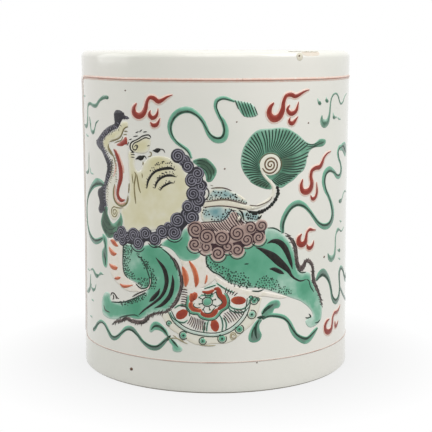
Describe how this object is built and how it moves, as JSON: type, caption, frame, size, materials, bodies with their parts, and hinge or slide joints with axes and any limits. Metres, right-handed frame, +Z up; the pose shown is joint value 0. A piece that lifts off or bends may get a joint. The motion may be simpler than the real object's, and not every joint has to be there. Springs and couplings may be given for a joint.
{
  "type": "brush pot",
  "caption": "Cylindrical porcelain brush pot with a rounded lip and low foot ring, painted in raised enamels with a lion, ball, ribbons and flames.",
  "frame": {"origin": "centre of the foot ring's resting face", "axes": "+Z up along the axis of the pot, -Y through the middle of the lion's panel, +X to the right as that panel is seen"},
  "size_m": [0.1198, 0.1198, 0.14],
  "materials": {
    "porcelain_body": "unglazed fired porcelain, dry and slightly rough, seen only on the foot ring",
    "clear_glaze": "glossy clear glaze over white porcelain, faintly blue grey",
    "iron_red_enamel": "thin iron red, satin, brushed and slightly uneven",
    "green_enamel": "glossy translucent copper green with darker drawing under it",
    "yellow_enamel": "glossy pale straw yellow wash",
    "aubergine_enamel": "glossy dark aubergine with paler curls",
    "brown_enamel": "glossy brownish purple with dark curls",
    "turquoise_enamel": "glossy pale turquoise with black stipple"
  },
  "bodies": {
    "root": {"foot_ring": "porcelain_body", "base_disc": "porcelain_body", "thrown_wall": "porcelain_body", "outer_glaze": "clear_glaze", "inner_glaze": "clear_glaze", "base_glaze": "clear_glaze", "panel_border_1": "iron_red_enamel", "panel_border_2": "iron_red_enamel", "ball_flower": "iron_red_enamel", "ball_cartouche_1": "iron_red_enamel", "ball_cartouche_2": "iron_red_enamel", "ball_cartouche_3": "iron_red_enamel", "flame_above_mouth": "iron_red_enamel", "flame_above_tail": "iron_red_enamel", "flame_below_tail": "iron_red_enamel", "flame_over_haunch": "iron_red_enamel", "flame_below_haunch": "iron_red_enamel", "lion_left_ear": "green_enamel", "lion_right_ear": "green_enamel", "lion_neck": "green_enamel", "lion_foreleg": "green_enamel", "lion_hindquarter": "green_enamel", "lion_tail_fan": "green_enamel", "ball_rim": "green_enamel", "ribbon_over_mane": "green_enamel", "ribbon_left_loop": "green_enamel", "ribbon_left_end": "green_enamel", "ribbon_ball_left": "green_enamel", "ribbon_ball_left_tail": "green_enamel", "ribbon_ball_right": "green_enamel", "ribbon_ball_right_leaf": "green_enamel", "ribbon_ball_right_tail": "green_enamel", "ribbon_haunch_upper": "green_enamel", "ribbon_haunch_lower": "green_enamel", "green_flame_left_top": "green_enamel", "green_flame_left_low": "green_enamel", "green_flame_right_top": "green_enamel", "green_flame_right_low": "green_enamel", "lion_face": "yellow_enamel", "lion_tail_stem": "yellow_enamel", "lion_tail_spiral": "yellow_enamel", "ball_sash": "yellow_enamel", "lion_mane_strip": "aubergine_enamel", "lion_mane_curls": "aubergine_enamel", "lion_rump_curls": "brown_enamel", "lion_upper_saddle": "turquoise_enamel", "lion_lower_saddle": "turquoise_enamel"}
  },
  "joints": []
}
